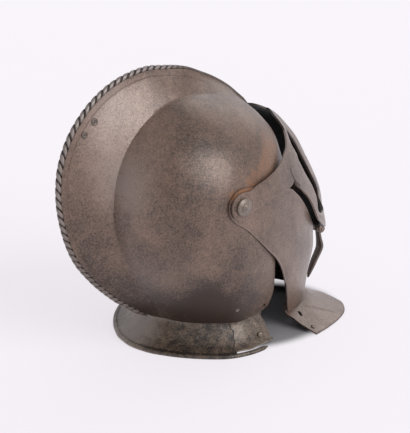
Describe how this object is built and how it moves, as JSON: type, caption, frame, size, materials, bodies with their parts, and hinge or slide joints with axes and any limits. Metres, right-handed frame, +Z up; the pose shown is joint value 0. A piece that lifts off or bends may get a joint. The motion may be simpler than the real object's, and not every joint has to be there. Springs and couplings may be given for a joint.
{
  "type": "close helmet",
  "caption": "Steel close helmet with a high hollow comb roped along its crest, pivoted visor and bevor, hinged hasp, and flared front and rear neck plates.",
  "frame": {"origin": "floor, under the middle of the bounding box", "axes": "+Z up, the face looks along -Y, the wearer's right is -X"},
  "size_m": [0.2186, 0.3574, 0.2935],
  "materials": {
    "brown_steel": "old brown patina, semi-gloss",
    "dark_steel": "dark patina",
    "rusted_steel": "pitted and rusted",
    "rivet_steel": "worn"
  },
  "bodies": {
    "skull": {"skull_right": "brown_steel", "skull_left": "brown_steel", "comb_rope": "dark_steel", "rear_gorget": "rusted_steel", "rear_gorget_end_plate": "rusted_steel", "pivot_rivet_right": "rivet_steel", "pivot_rivet_left": "rivet_steel", "comb_rivet_upper": "rivet_steel", "comb_rivet_lower": "rivet_steel", "skull_edge_rivet": "rivet_steel", "end_plate_rivet": "rivet_steel"},
    "bevor": {"bevor": "brown_steel", "front_gorget": "brown_steel", "front_gorget_rivet": "rivet_steel"},
    "visor": {"visor": "brown_steel", "hasp_pin": "rivet_steel"},
    "hasp": {"hasp": "dark_steel"}
  },
  "joints": [
    {"name": "bevor_pivot", "type": "hinge", "parent": "skull", "child": "bevor", "pos_m": [0, 0.0317, 0.168], "axis": [-1, 0, 0], "range_deg": [0, 30]},
    {"name": "visor_pivot", "type": "hinge", "parent": "bevor", "child": "visor", "pos_m": [0, 0.0317, 0.168], "axis": [-1, 0, 0], "range_deg": [0, 55]},
    {"name": "hasp_hinge", "type": "hinge", "parent": "visor", "child": "hasp", "pos_m": [0, -0.1723, 0.0695], "axis": [-1, 0, 0], "range_deg": [-10, 120]}
  ]
}
